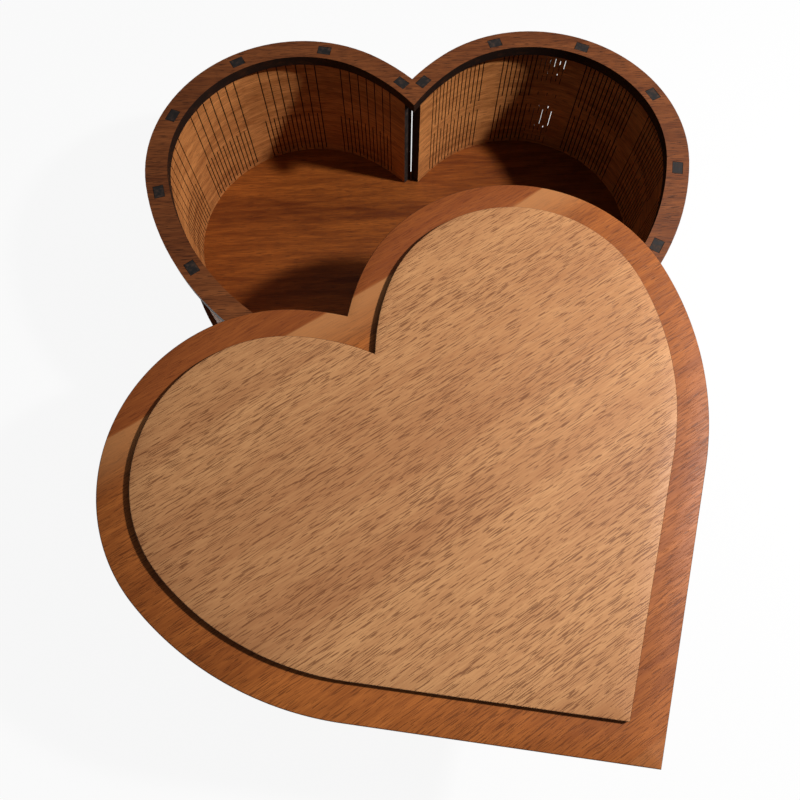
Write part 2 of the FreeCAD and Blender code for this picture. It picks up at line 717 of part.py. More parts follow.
def comb_bed():
    """Block under the comb's back, bored for the comb screws."""
    block = box("comb_bed_block", "dims.cylinder_length", "dims.comb_back", f"{COMB_UNDER} - dims.bed_thickness",
                CYLINDER_U, COMB_ROOT, "dims.bed_thickness")
    depth = "dims.comb_hole_depth"
    holes = [
        rod(f"comb_bed_hole_{k}", "dims.comb_screw_radius + dims.running_clearance", depth,
            u, v, f"{COMB_UNDER} - {depth}")
        for k, (u, v) in enumerate(COMB_SCREWS)
    ]
    return cut("comb_bed", block, group("comb_bed_holes", holes))


def comb_screws():
    """Two slotted screws through the comb into its bed."""
    shank = "dims.comb_thickness + dims.comb_screw_grip"
    seat = f"({COMB_UNDER} + dims.comb_thickness)"
    return group("comb_screws", [
        screw(f"comb_screw_{k}", "dims.comb_screw_radius", shank, "dims.comb_head_radius", "dims.comb_head_height",
              (u, v, seat), True)
        for k, (u, v) in enumerate(COMB_SCREWS)
    ])


def movement_screws():
    """Three slotted screws from outside through the wall into the bedplate."""
    shank = "dims.wall_thickness + dims.bed_thickness"
    return group("movement_screws", [
        screw(f"wall_screw_{k}", "dims.wall_screw_radius", shank, "dims.wall_screw_head",
              "dims.wall_screw_head_height", (u, v, "-dims.wall_thickness"), False)
        for k, (u, v) in enumerate(SCREW_SPOTS)
    ])


def wall_drills():
    """Holes the movement needs through the right wall."""
    through = ("0", "0", "-dims.wall_thickness")
    drills = [rod("arbor_drill", "dims.arbor_hole_radius", "dims.wall_thickness", *through)]
    for k, (u, v) in enumerate(SCREW_SPOTS):
        drills.append(rod(f"screw_drill_{k}", "dims.wall_hole_radius", "dims.wall_thickness",
                          u, v, "-dims.wall_thickness"))
    return group("wall_drills", drills)


def fan():
    """Air brake: a hub and two flat blades."""
    hub = rod("fan_hub", "dims.fan_hub_radius", "dims.fan_length", FAN_U, FAN_V, FAN_N, ALONG_U)
    blades = box("fan_blades", "dims.fan_length", "2 * dims.fan_radius", "dims.fan_blade",
                 FAN_U, f"{FAN_V} - dims.fan_radius", f"{FAN_N} - dims.fan_blade / 2")
    bore = rod("fan_bore", "dims.fan_arbor_radius + dims.press_clearance", "dims.fan_length",
               FAN_U, FAN_V, FAN_N, ALONG_U)
    return cut("air_brake_fan", fuse("fan_solid", [hub, blades]), bore)


def along_u(name, radius, u_from, u_to, v, n):
    """Plain arbor parallel to the wall between two stations."""
    return rod(name, radius, f"{u_to} - {u_from}", u_from, v, n, ALONG_U)


def gears():
    """Every gear of the train, in mesh at rest."""
    def bored(radius):
        return f"{radius} + dims.press_clearance"

    def half_tooth(teeth):
        return 180 / size(teeth)

    phase_idler, phase_fan = -size("dims.idler_direction"), size("dims.fan_direction")
    made = [
        spin(crown_gear(), UPRIGHT, half_tooth("dims.crown_teeth"), "0", "0", CROWN_FLOOR),
        spin(spur_gear("cylinder_pinion_body", "dims.pinion_teeth", "dims.crown_module", "dims.pinion_width",
                       bored("dims.cylinder_arbor_radius")),
             ALONG_U, -90, f"{CROWN_PITCH} - dims.pinion_width / 2", "0", AXIS_N),
        spin(spur_gear("cylinder_wheel_body", "dims.wheel_teeth", "dims.wheel_module", "dims.wheel_width",
                       bored("dims.cylinder_arbor_radius")), ALONG_U, phase_idler, WHEEL_U, "0", AXIS_N),
        spin(spur_gear("idler_pinion_body", "dims.idler_pinion_teeth", "dims.wheel_module", "dims.wheel_width",
                       bored("dims.idler_radius")),
             ALONG_U, phase_idler + 180 + half_tooth("dims.idler_pinion_teeth"), WHEEL_U, IDLER_V, IDLER_N),
        spin(spur_gear("idler_wheel_body", "dims.idler_wheel_teeth", "dims.governor_module", "dims.governor_width",
                       bored("dims.idler_radius")), ALONG_U, phase_fan, IDLER_WHEEL_U, IDLER_V, IDLER_N),
        spin(spur_gear("fan_pinion_body", "dims.fan_pinion_teeth", "dims.governor_module", "dims.governor_width",
                       bored("dims.fan_arbor_radius")),
             ALONG_U, phase_fan + 180 + half_tooth("dims.fan_pinion_teeth"), IDLER_WHEEL_U, FAN_V, FAN_N),
    ]
    return [(body.Name.removesuffix("_body"), body) for body in made]


def movement():
    """Every sub-part of the movement in its own frame."""
    near_holes = [("dims.cylinder_arbor_radius", "0", AXIS_N)]
    governor_holes = [("dims.idler_radius", IDLER_V, IDLER_N), ("dims.fan_arbor_radius", FAN_V, FAN_N)]
    arbor_start = f"({CROWN_PITCH} - dims.pinion_width)"
    idler_start = f"({WHEEL_U} - dims.idler_overhang)"
    parts = [
        bedplate(),
        bearing_plate("near_bearing_plate", NEAR_U, "-dims.near_plate_half", "dims.near_plate_half",
                      "dims.plate_lift", near_holes),
        bearing_plate("far_bearing_plate", FAR_U, "-dims.far_plate_drop", "dims.bed_lift - dims.bed_margin",
                      "dims.plate_lift", near_holes + governor_holes),
        bearing_plate("governor_bearing_plate", GOVERNOR_U, "dims.governor_plate_start",
                      "dims.bed_lift - dims.bed_margin", "dims.governor_plate_lift", governor_holes),
        comb_bed(), comb(), comb_screws(), movement_screws(),
        winding_key(), winding_arbor(), spring_barrel(), mainspring(),
        cylinder_sleeve(), tune_pins(),
        along_u("cylinder_arbor", "dims.cylinder_arbor_radius", arbor_start, f"({FAR_U} + dims.plate_thickness)",
                "0", AXIS_N),
        along_u("idler_arbor", "dims.idler_radius", idler_start, f"({GOVERNOR_U} + dims.plate_thickness)",
                IDLER_V, IDLER_N),
        along_u("fan_arbor", "dims.fan_arbor_radius", FAR_U, f"({GOVERNOR_U} + dims.plate_thickness)", FAN_V, FAN_N),
        fan(),
    ]
    return [(part.Name, part) for part in parts] + gears()


def moved(name, source, frame):
    """The sub-part itself: a source object carried whole into the row frame."""
    obj = group(f"{name}_placed", [source])
    obj.Label = name
    obj.Placement = frame
    return obj


def case():
    """Base, walls and rim in the row frame."""
    base = mortised("base_plate", heart_plate("base_blank", "0", "dims.base_thickness"), "0", "dims.base_thickness")
    rim_z = "dims.base_thickness + dims.wall_height"
    blank = put(heart_plate("rim_blank", "0", "dims.rim_thickness", "dims.rim_width"), "0", "0", rim_z)
    rim = mortised("rim_plate", blank, rim_z, "dims.rim_thickness")
    wall = wall_blank()
    left = doc.addObject("Part::Mirroring", "wall_left")
    left.Source = wall
    left.Normal = V(1, 0, 0)
    drills = wall_drills()
    drills.Placement = movement_frame()
    right = cut("wall_right", wall, drills)
    return [(part.Name, part) for part in (base, rim, left, right)]


def lid():
    """Lid panel and its plug, lying turned on the rim."""
    turn = FreeCAD.Rotation(V(0, 0, 1), size("dims.lid_turn"))
    rest = "dims.base_thickness + dims.wall_height + dims.rim_thickness"
    panel = heart_plate("lid_panel", "0", "dims.lid_thickness")
    plug = heart_plate("lid_plug", "dims.plug_margin", "dims.plug_thickness")
    put(panel, "dims.lid_shift_right", "dims.lid_shift_back", rest, turn)
    put(plug, "dims.lid_shift_right", "dims.lid_shift_back", f"{rest} + dims.lid_thickness", turn)
    return [("lid_panel", panel), ("lid_plug", plug)]


def main():
    """Build every sub-part, check it and write it."""
    nodes = case() + lid()
    frame = movement_frame()
    nodes += [(name, moved(name, part, frame)) for name, part in movement()]
    doc.recompute()
    for obj in doc.Objects:
        if "Invalid" in obj.State or "Error" in obj.State:
            raise RuntimeError(f"{obj.Name} did not build: {obj.State}")
    os.makedirs("parts", exist_ok=True)
    for name, obj in nodes:
        shape = obj.Shape
        if shape.isNull() or not shape.isValid() or not shape.Solids:
            raise RuntimeError(f"{name} has no valid solid")
        obj.Label = name
        shape.exportStep(f"parts/{name}.step")
        print(f"{name}: {len(shape.Solids)} solid(s), {shape.Volume:.1f} mm3")


main()
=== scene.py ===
"""Heart-shaped music box: a tabbed wooden case with kerf-bent walls, a loose lid and a wind-up movement."""
import json
import logging
import math
from dataclasses import dataclass
from enum import Enum

import bpy
import numpy as np
from mathutils import Matrix, Vector


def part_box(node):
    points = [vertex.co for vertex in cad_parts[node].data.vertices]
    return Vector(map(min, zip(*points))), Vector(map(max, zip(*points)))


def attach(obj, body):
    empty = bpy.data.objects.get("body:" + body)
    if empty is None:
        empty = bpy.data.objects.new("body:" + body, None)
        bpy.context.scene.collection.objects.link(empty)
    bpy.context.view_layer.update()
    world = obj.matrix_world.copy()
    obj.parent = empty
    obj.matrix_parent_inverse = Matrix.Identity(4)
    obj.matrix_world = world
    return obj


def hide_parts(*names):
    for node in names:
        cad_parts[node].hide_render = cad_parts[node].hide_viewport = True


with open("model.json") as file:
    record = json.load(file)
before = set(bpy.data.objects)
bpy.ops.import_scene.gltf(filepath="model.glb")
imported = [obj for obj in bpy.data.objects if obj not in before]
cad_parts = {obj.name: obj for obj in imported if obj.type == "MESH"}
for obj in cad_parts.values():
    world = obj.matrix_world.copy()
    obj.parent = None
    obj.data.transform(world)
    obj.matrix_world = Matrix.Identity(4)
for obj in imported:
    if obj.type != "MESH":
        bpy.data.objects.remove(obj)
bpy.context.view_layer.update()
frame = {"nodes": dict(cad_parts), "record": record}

LOG = logging.getLogger("music_box")
MM = 0.001
Triple = tuple[float, float, float]
Display = tuple[int, int, int]
Levels = tuple[tuple[float, float], ...]
Groups = dict[str, bpy.types.NodeTree]


class Grain(Enum):
    """Which way the fibres of a wooden piece run: a turn about Z in degrees, or along a bent wall."""

    ACROSS = 0.0
    LID = 30.0
    BENT = None


class Face(Enum):
    """Material slots of a wall mesh."""

    WOOD = 0
    CHAR = 1


def linear(red: int, green: int, blue: int) -> tuple[float, float, float, float]:
    """Linear RGBA of a display colour.

    Args:
        red, green, blue: display values from 0 to 255.
    Returns:
        The colour as a shader socket takes it.
    """
    shares = np.array([red, green, blue]) / 255.0
    low, high = shares / 12.92, ((shares + 0.055) / 1.055) ** 2.4
    return (*np.where(shares <= 0.04045, low, high).tolist(), 1.0)


# Meshes


def add_mesh(name: str, points: np.ndarray, faces: list[list[int]], slots: np.ndarray | None = None,
             sharp: float = 35.0) -> bpy.types.Object:
    """New object at the origin from arrays of points and faces.

    Args:
        name: the piece's name.
        points: positions, one row each, in metres.
        faces: corner indices of each face.
        slots: material slot of each face, all the first slot when left out.
        sharp: edges steeper than this many degrees stay sharp.
    Returns:
        The new object, linked to the scene.
    """
    mesh = bpy.data.meshes.new(name)
    mesh.from_pydata(points.tolist(), [], faces)
    if slots is not None:
        mesh.polygons.foreach_set("material_index", slots.astype(np.int32))
    mesh.polygons.foreach_set("use_smooth", np.ones(len(mesh.polygons), bool))
    mesh.set_sharp_from_angle(angle=math.radians(sharp))
    mesh.validate()
    mesh.update()
    obj = bpy.data.objects.new(name, mesh)
    bpy.context.scene.collection.objects.link(obj)
    return obj


class MeshParts:
    """Collects arrays of points and faces that become one mesh, with the place of each point along the grain."""

    def __init__(self) -> None:
        """Start with nothing collected."""
        self.points: list[np.ndarray] = []
        self.grain: list[np.ndarray] = []
        self.faces: list[list[int]] = []
        self.slots: list[int] = []
        self.count = 0

    def add(self, points: np.ndarray, grain: np.ndarray) -> int:
        """Append a block of points.

        Args:
            points: positions, one row each.
            grain: where each point lies in the flat sheet: along it, up it and through it.
        Returns:
            Index of the block's first point.
        """
        self.points.append(points)
        self.grain.append(grain)
        self.count += len(points)
        return self.count - len(points)

    def face(self, faces: np.ndarray, slot: Face) -> None:
        """Append faces of one material, as rows of corner indices."""
        self.faces.extend(faces.tolist())
        self.slots.extend([slot.value] * len(faces))

    def build(self, name: str) -> bpy.types.Object:
        """One object from everything collected.

        Args:
            name: the piece's name.
        Returns:
            The new object, with the places along the grain as a point attribute.
        """
        obj = add_mesh(name, np.concatenate(self.points), self.faces, np.array(self.slots))
        grain = obj.data.attributes.new("grain", "FLOAT_VECTOR", "POINT")
        grain.data.foreach_set("vector", np.concatenate(self.grain).astype(np.float32).ravel())
        return obj


def strip_faces(rows: int, columns: int, closed: bool) -> np.ndarray:
    """Quads of a grid of points stored row by row.

    Args:
        rows: number of rows.
        columns: points in each row.
        closed: whether each row's last point joins its first.
    Returns:
        One row of four corner indices per quad.
    """
    row, column = np.meshgrid(np.arange(rows - 1), np.arange(columns if closed else columns - 1), indexing="ij")
    after = (column + 1) % columns
    here, there = row * columns, (row + 1) * columns
    return np.stack([here + column, here + after, there + after, there + column], axis=-1).reshape(-1, 4)


# Heart geometry


@dataclass(frozen=True)
class HeartOutline:
    """The case's outline: three tangent arcs and a straight on each side, in metres and degrees."""

    lobe_offset: float = 35.0 * MM
    lobe_radius: float = 43.0 * MM
    cleft_radius: float = 66.0 * MM
    side_radius: float = 80.0 * MM
    cleft_join: float = 125.7
    side_join: float = -10.4
    tip_half_angle: float = 49.5

    def centres(self) -> tuple[np.ndarray, np.ndarray, np.ndarray]:
        """Centres of the arcs of the right half, each on the line through the join with its neighbour.

        Returns:
            The cleft's, the lobe's and the side's centre.
        """
        def ray(degrees: float) -> np.ndarray:
            """Unit vector at an angle from the X axis."""
            return np.array([math.cos(math.radians(degrees)), math.sin(math.radians(degrees))])

        lobe = np.array([self.lobe_offset, 0.0])
        cleft = lobe + ray(self.cleft_join) * (self.lobe_radius - self.cleft_radius)
        side = lobe + ray(self.side_join) * (self.lobe_radius - self.side_radius)
        return cleft, lobe, side

    def arcs(self, inset: float, first: float) -> list[tuple[np.ndarray, float, float, float]]:
        """Centre, radius, first and last angle in radians of each arc, from the cleft outwards.

        Args:
            inset: distance inside the outline.
            first: angle about the cleft centre where the run starts, in radians.
        Returns:
            One entry per arc.
        """
        cleft, lobe, side = self.centres()
        join, turn, end = (math.radians(a) for a in (self.cleft_join, self.side_join, -self.tip_half_angle))
        return [
            (cleft, self.cleft_radius - inset, first, join),
            (lobe, self.lobe_radius - inset, join, turn),
            (side, self.side_radius - inset, turn, end),
        ]

    def apex_angle(self, inset: float, off_middle: float = 0.0) -> float:
        """Angle about the cleft centre where an inset line meets a distance from the middle."""
        cleft = self.centres()[0]
        return math.acos((off_middle - cleft[0]) / (self.cleft_radius - inset))

    def straight(self, inset: float, off_middle: float = 0.0) -> float:
        """Length of the straight from the side arc towards the tip.

        Args:
            inset: distance inside the outline.
            off_middle: distance from the middle at which it ends.
        Returns:
            The length.
        """
        side = self.centres()[2]
        slope = math.radians(self.tip_half_angle)
        bend = side[0] + math.cos(slope) * (self.side_radius - inset)
        return (bend - off_middle) / math.sin(slope)

    def run(self, inset: float, first: float, straight: float) -> float:
        """Whole length of the run from an angle at the cleft to the end of the straight."""
        return sum(radius * (a - b) for _, radius, a, b in self.arcs(inset, first)) + straight

    def trace(self, lengths: np.ndarray, inset: float, first: float) -> tuple[np.ndarray, np.ndarray]:
        """Points and outward normals at lengths along the run.

        Each arc of radius r from angle a gives centre + r * (cos(a - s / r), sin(a - s / r)); past
        the last arc the run goes straight on.

        Args:
            lengths: distances from the cleft end.
            inset: distance of the run inside the outline.
            first: angle about the cleft centre where it starts, in radians.
        Returns:
            Points and unit normals, one row each.
        """
        points, normals = np.zeros((len(lengths), 2)), np.zeros((len(lengths), 2))
        start = 0.0
        for centre, radius, a, b in self.arcs(inset, first):
            here = lengths >= start - 1e-12
            angle = a - (lengths[here] - start) / radius
            normals[here] = np.stack([np.cos(angle), np.sin(angle)], axis=1)
            points[here] = centre + normals[here] * radius
            start += radius * (a - b)
            last = centre, radius, b
        beyond = lengths > start
        centre, radius, angle = last
        normal = np.array([math.cos(angle), math.sin(angle)])
        ahead = np.array([math.sin(angle), -math.cos(angle)])
        normals[beyond] = normal
        points[beyond] = centre + normal * radius + ahead * (lengths[beyond] - start)[:, None]
        return points, normals

    def loop(self, inset: float, half: int) -> np.ndarray:
        """Closed outline at an inset, clockwise from the cleft round the right side and back up the left.

        Args:
            inset: distance inside the outline.
            half: number of points from the cleft to the tip.
        Returns:
            The points, one row each, 2 * half - 2 of them.
        """
        first = self.apex_angle(inset)
        whole = self.run(inset, first, self.straight(inset))
        right, _ = self.trace(np.linspace(0.0, whole, half), inset, first)
        left = right[-2:0:-1] * np.array([-1.0, 1.0])
        return np.concatenate([right, left])


# Wooden pieces


@dataclass(frozen=True)
class Slit:
    """One cut through a wall: its place along it, half its width, and its lower and upper height."""

    place: float
    half: float
    low: float
    high: float
    clear: bool


@dataclass(frozen=True)
class KerfPattern:
    """Slits that let a wall bend: columns of cuts between the tabs, every other one staggered."""

    staggered: Levels
    clear_group: int | None = None
    clear_from: int = 8
    through: Levels = ((1.2, 38.8),)
    broken: tuple[Levels, Levels] = (
        ((2.0, 4.4), (5.2, 9.2), (14.5, 18.5), (29.0, 32.4), (33.2, 37.4)),
        ((1.2, 4.0), (6.5, 16.5), (22.6, 24.0), (28.5, 31.0), (32.0, 38.0)),
    )
    groups: int = 6
    columns: int = 14
    pitch: float = 1.55 * MM
    width: float = 0.36 * MM
    clear_width: float = 0.22 * MM

    def slits(self, gaps: np.ndarray) -> list[Slit]:
        """Every slit of a wall.

        Args:
            gaps: middle of each gap between tabs, along the wall.
        Returns:
            The slits, column by column.
        """
        found = []
        for group, gap in enumerate(gaps[: self.groups]):
            for column in range(self.columns):
                clear = group == self.clear_group and column >= self.clear_from
                half = (self.clear_width if clear else self.width) / 2
                place = gap + (column - (self.columns - 1) / 2) * self.pitch
                levels = self.broken[column % 2] if clear else self.staggered if column % 2 else self.through
                found.extend(Slit(place, half, low * MM, high * MM, clear) for low, high in levels)
        return found


@dataclass(frozen=True)
class WallHole:
    """Round hole through the straight stretch of a wall."""

    back_from_end: float
    height: float
    radius: float
    patch: float


@dataclass
class Wall:
    """One bent wall with its slits, finger tabs and any holes for the movement."""

    name: str
    side: float
    outline: HeartOutline
    pattern: KerfPattern
    holes: tuple[WallHole, ...] = ()
    floor: float = 3.0 * MM
    height: float = 40.0 * MM
    thickness: float = 3.0 * MM
    inset: float = 1.75 * MM
    gap: float = 0.3 * MM
    tab_length: float = 3.9 * MM
    tab_thickness: float = 2.8 * MM
    tab_height: float = 3.0 * MM
    tab_end: float = 3.0 * MM
    tab_count: int = 9
    step: float = 1.4 * MM
    # Depth of the near-black blocks in the slits, which are painted shade.
    shade_block_depth: float = 0.6 * MM

    def __post_init__(self) -> None:
        """Work out the wall's length and where its tabs and slits go."""
        self.middle = self.inset + self.thickness / 2
        half_gap = self.gap / 2
        self.first = self.outline.apex_angle(self.inset, half_gap)
        straight = self.outline.straight(self.inset + self.thickness, half_gap)
        self.length = self.outline.run(self.middle, self.first, straight)
        self.tabs = np.linspace(self.tab_end, self.length - self.tab_end, self.tab_count)
        self.slits = self.pattern.slits((self.tabs[1:] + self.tabs[:-1]) / 2)

    def lay(self, parts: MeshParts, along: np.ndarray, depth: np.ndarray, up: np.ndarray) -> int:
        """Add points of the wall: its middle line moved outwards by depth, at a height over the floor.

        Args:
            parts: the mesh they go into.
            along: lengths along the middle line.
            depth: distances outwards from it.
            up: heights over the wall's foot.
        Returns:
            Index of the first new point; the left wall's points are mirrored.
        """
        points, normals = self.outline.trace(along, self.middle, self.first)
        plan = points + normals * depth[:, None]
        places = np.column_stack([plan[:, 0] * self.side, plan[:, 1], up + self.floor])
        return parts.add(places, np.column_stack([along * self.side, up, depth]))

    def facing(self, faces: np.ndarray) -> np.ndarray:
        """Faces turned over on the left wall, whose points are mirrored."""
        return faces if self.side > 0 else faces[:, ::-1]

    def lines(self) -> tuple[np.ndarray, np.ndarray]:
        """Grid lines with one on every edge of a slit or hole patch.

        Returns:
            Places along the wall and heights up it.
        """
        along = [np.linspace(0.0, self.length, int(self.length / self.step))]
        along.append(np.array([slit.place + shift * slit.half for slit in self.slits for shift in (-1, 1)]))
        up = [0.0, self.height] + [level for slit in self.slits for level in (slit.low, slit.high)]
        for hole in self.holes:
            middle = self.length - hole.back_from_end
            along.append(np.array([middle - hole.patch, middle + hole.patch]))
            up += [hole.height - hole.patch, hole.height + hole.patch]
        return self.spread(np.concatenate(along)), self.spread(np.array(up))

    @staticmethod
    def spread(values: np.ndarray) -> np.ndarray:
        """Sorted values with near repeats dropped."""
        values = np.unique(np.round(values, 8))
        return values[np.concatenate([[True], np.diff(values) > 1e-6])]

    def solid_cells(self, along: np.ndarray, up: np.ndarray) -> np.ndarray:
        """Which grid cells are wood, after taking out the slits and the hole patches.

        Args:
            along, up: the grid lines.
        Returns:
            One truth value per cell.
        """
        mid_along, mid_up = (along[1:] + along[:-1]) / 2, (up[1:] + up[:-1]) / 2
        solid = np.ones((len(mid_along), len(mid_up)), bool)
        boxes = [(slit.place, slit.half, slit.low, slit.high) for slit in self.slits]
        boxes += [(self.length - h.back_from_end, h.patch, h.height - h.patch, h.height + h.patch)
                  for h in self.holes]
        for place, half, low, high in boxes:
            inside_along = np.abs(mid_along - place) < half
            inside_up = (mid_up > low) & (mid_up < high)
            solid &= ~np.outer(inside_along, inside_up)
        return solid

    def add_sheet(self, parts: MeshParts) -> None:
        """The slit sheet: outer and inner skins over the solid cells, and a rim round every opening.

        Grid point (i, j, k) lies at along[i], up[j] and the inner (0) or outer (1) skin. A cell edge
        with wood on one side only gets a quad between the skins.

        Args:
            parts: the mesh it goes into.
        """
        along, up = self.lines()
        solid = self.solid_cells(along, up)
        wide, tall = len(along), len(up)
        outer = wide * tall
        depth = np.repeat([-0.5, 0.5], outer) * self.thickness
        base = self.lay(parts, np.tile(np.repeat(along, tall), 2), depth, np.tile(up, 2 * wide))
        column, row = np.nonzero(solid)
        a, b = column * tall + row, (column + 1) * tall + row
        skin = np.stack([a, a + 1, b + 1, b], axis=1)
        parts.face(self.facing(np.concatenate([skin[:, ::-1], skin + outer])) + base, Face.WOOD)
        padded = np.pad(solid, 1)
        edges = []
        for before, after, step, far in (
            (padded[:-1, 1:-1], padded[1:, 1:-1], 1, True),
            (padded[1:-1, :-1], padded[1:-1, 1:], tall, False),
        ):
            for wood_after in (True, False):
                i, j = np.nonzero(after & ~before if wood_after else before & ~after)
                p = i * tall + j
                quads = np.stack([p, p + step, p + step + outer, p + outer], axis=1)
                edges.append(quads[:, ::-1] if wood_after == far else quads)
        parts.face(self.facing(np.concatenate(edges)) + base, Face.CHAR)

    def add_blocks(self, parts: MeshParts, place: np.ndarray, reach: np.ndarray, depth: float,
                   low: np.ndarray, high: np.ndarray) -> None:
        """Charred blocks across the wall, eight corners each.

        Args:
            parts: the mesh they go into.
            place: middle of each block along the wall.
            reach: half of each block's length.
            depth: half of their thickness.
            low, high: heights over the wall's foot.
        """
        corner = np.array([[-1, -1], [1, -1], [1, 1], [-1, 1]])
        along = np.tile(place[:, None] + reach[:, None] * corner[:, 0], 2)
        deep = np.tile(corner[:, 1] * depth, (len(place), 2))
        up = np.repeat(np.stack([low, high], axis=1), 4, axis=1)
        base = self.lay(parts, along.ravel(), deep.ravel(), up.ravel())
        sides = np.array([[0, 1, 5, 4], [1, 2, 6, 5], [2, 3, 7, 6], [3, 0, 4, 7], [3, 2, 1, 0], [4, 5, 6, 7]])
        faces = (sides[None] + np.arange(len(place))[:, None, None] * 8).reshape(-1, 4)
        parts.face(self.facing(faces[:, ::-1]) + base, Face.CHAR)

    def add_shade_blocks(self, parts: MeshParts) -> None:
        """Painted shade: near-black blocks that close the slits half way through, apart from the clear ones,
        standing in for the shade seen through the slits.

        Args:
            parts: the mesh they go into.
        """
        rows = np.array([(s.place, s.half, s.low, s.high) for s in self.slits if not s.clear])
        place, half, low, high = rows.T
        # Near-black blocks in the slits: painted shade, not a real filling.
        self.add_blocks(parts, place, half, self.shade_block_depth / 2, low, high)

    def add_tabs(self, parts: MeshParts) -> None:
        """Finger tabs at every tab place, below and above the wall.

        Args:
            parts: the mesh they go into.
        """
        reach = np.full(self.tab_count, self.tab_length / 2)
        for foot in (-self.tab_height, self.height):
            low = np.full(self.tab_count, foot)
            self.add_blocks(parts, self.tabs, reach, self.tab_thickness / 2, low, low + self.tab_height)

    def add_holes(self, parts: MeshParts, count: int = 48) -> None:
        """Patches that carry the round holes: a ring from the circle out to the square it was cut from.

        At angle t the ring runs from radius r to patch / max(|cos t|, |sin t|).

        Args:
            parts: the mesh they go into.
            count: points round each hole.
        """
        angle = np.linspace(0.0, 2 * math.pi, count, endpoint=False)
        cos, sin = np.cos(angle), np.sin(angle)
        square = 1.0 / np.maximum(np.abs(cos), np.abs(sin))
        for hole in self.holes:
            reach = np.stack([square * hole.patch, np.full(count, hole.radius), np.full(count, hole.radius),
                              square * hole.patch])
            depth = np.repeat([-1.0, -1.0, 1.0, 1.0], count) * self.thickness / 2
            along = self.length - hole.back_from_end + (reach * cos).ravel()
            base = self.lay(parts, along, depth, hole.height + (reach * sin).ravel())
            rings = self.facing(strip_faces(4, count, True)) + base
            for ring, slot in enumerate((Face.WOOD, Face.CHAR, Face.WOOD)):
                parts.face(rings[ring * count : (ring + 1) * count], slot)

    def build(self) -> bpy.types.Object:
        """The whole wall.

        Returns:
            One object that stands for the wall's CAD node.
        """
        parts = MeshParts()
        self.add_sheet(parts)
        # Near-black blocks in the slits: painted shade.
        self.add_shade_blocks(parts)
        self.add_tabs(parts)
        self.add_holes(parts)
        obj = parts.build(f"{self.name}_kerfed")
        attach(obj, "case")
        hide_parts(self.name)
        return obj


@dataclass
class LidPlate:
    """A heart plate of the lid with its edges just broken."""

    node: str
    outline: HeartOutline
    margin: float
    turn: float = 30.0
    shift: tuple[float, float] = (-8.4 * MM, -75.8 * MM)
    rounding: float = 0.35 * MM
    half_points: int = 190
    heart_middle: float = -15.0 * MM

    def build(self) -> bpy.types.Object:
        """Slab swept from the middle of the top, over the rounded edge and back under.

        Each row is the outline at its own inset and height; the rows inside it shrink towards one
        middle point, from which the whole outline can be seen.

        Returns:
            The slab, which stands for its CAD node.
        """
        low, high = (corner.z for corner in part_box(self.node))
        middle = np.array([0.0, self.heart_middle])
        bend = np.linspace(0.0, math.pi / 2, 4)
        insets = self.rounding * (1 - np.sin(bend))
        drops = self.rounding * (1 - np.cos(bend))
        count = 2 * self.half_points - 2
        rows, heights = [], []
        top = self.outline.loop(self.margin + self.rounding, self.half_points)
        for share in (0.25, 0.5, 0.75, 0.92):
            rows.append(middle + (top - middle) * share)
            heights.append(high)
        for inset, drop in zip(insets, drops):
            rows.append(self.outline.loop(self.margin + inset, self.half_points))
            heights.append(high - drop)
        rows += rows[::-1]
        heights += [low + high - h for h in heights[::-1]]
        plan = self.turned(np.concatenate(rows))
        points = np.column_stack([plan, np.repeat(heights, count)])
        poles = np.column_stack([self.turned(middle[None].repeat(2, 0)), [high, low]])
        last = len(points) - count
        here = np.arange(count)
        after = (here + 1) % count
        top_pole, low_pole = len(points), len(points) + 1
        faces = strip_faces(len(rows), count, True)[:, ::-1].tolist()
        faces += np.stack([np.full(count, top_pole), after, here], axis=1).tolist()
        faces += np.stack([np.full(count, low_pole), last + here, last + after], axis=1).tolist()
        obj = add_mesh(f"{self.node}_slab", np.concatenate([points, poles]), faces)
        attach(obj, "lid")
        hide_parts(self.node)
        return obj

    def turned(self, plan: np.ndarray) -> np.ndarray:
        """Points carried from the lid's own axes to where it lies on the rim.

        Args:
            plan: points in the lid's own axes, one row each.
        Returns:
            The same points in the shared frame.
        """
        angle = math.radians(self.turn)
        turn = np.array([[math.cos(angle), -math.sin(angle)], [math.sin(angle), math.cos(angle)]])
        return plan @ turn.T + np.array(self.shift)


# Shader groups and finishes


